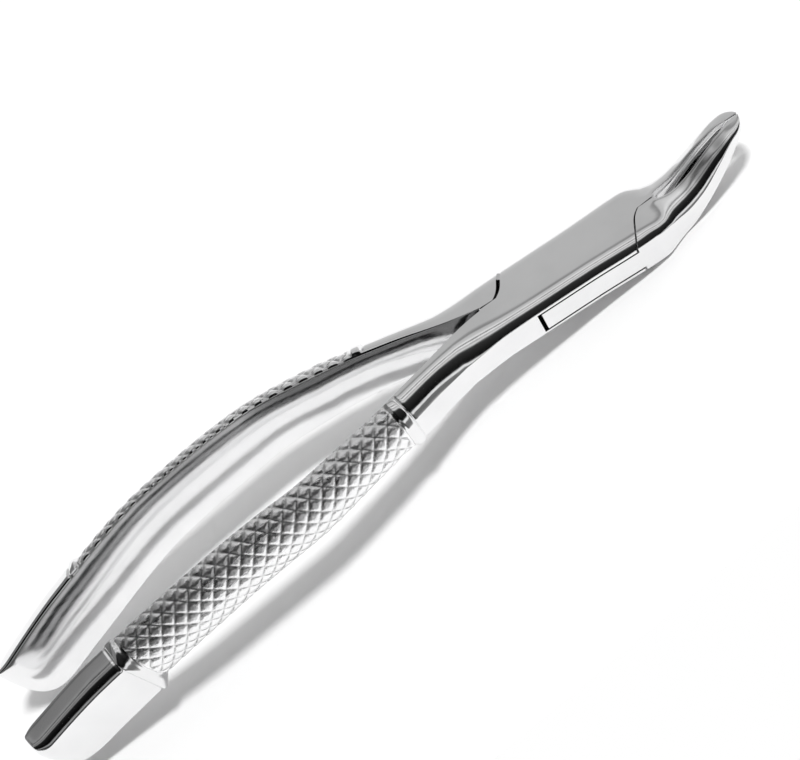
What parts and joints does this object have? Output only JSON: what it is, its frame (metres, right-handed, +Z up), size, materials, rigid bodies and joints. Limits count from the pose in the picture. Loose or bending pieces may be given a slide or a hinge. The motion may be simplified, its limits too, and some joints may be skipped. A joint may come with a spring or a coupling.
{
  "type": "extraction forceps",
  "caption": "Dental extraction forceps with knurled bowed handles, a box-lock joint on a flush pin and short hollow beaks that curve upwards.",
  "frame": {"origin": "centre of the footprint of the closed tool as it lies on its side on a table", "axes": "+X towards the beaks, +Y from the box half's handle to the tongue half's handle, +Z up; the pivot pin leans 10 degrees from +Z towards +X"},
  "size_m": [0.18, 0.0366, 0.0236],
  "materials": {
    "box_half_steel": "polished stainless steel, knurled on the back of the handle",
    "tongue_half_steel": "polished stainless steel, knurled on the back of the handle",
    "pin_steel": "ground flush and polished with the joint's faces"
  },
  "bodies": {
    "box_side": {"box_half": "box_half_steel", "pivot_pin": "pin_steel"},
    "tongue_side": {"tongue_half": "tongue_half_steel"}
  },
  "joints": [
    {"name": "jaw_pivot", "type": "hinge", "parent": "box_side", "child": "tongue_side", "pos_m": [0.04715, 0, 0.00286], "axis": [-0.1736, 0, -0.9848], "range_deg": [0, 28]}
  ]
}
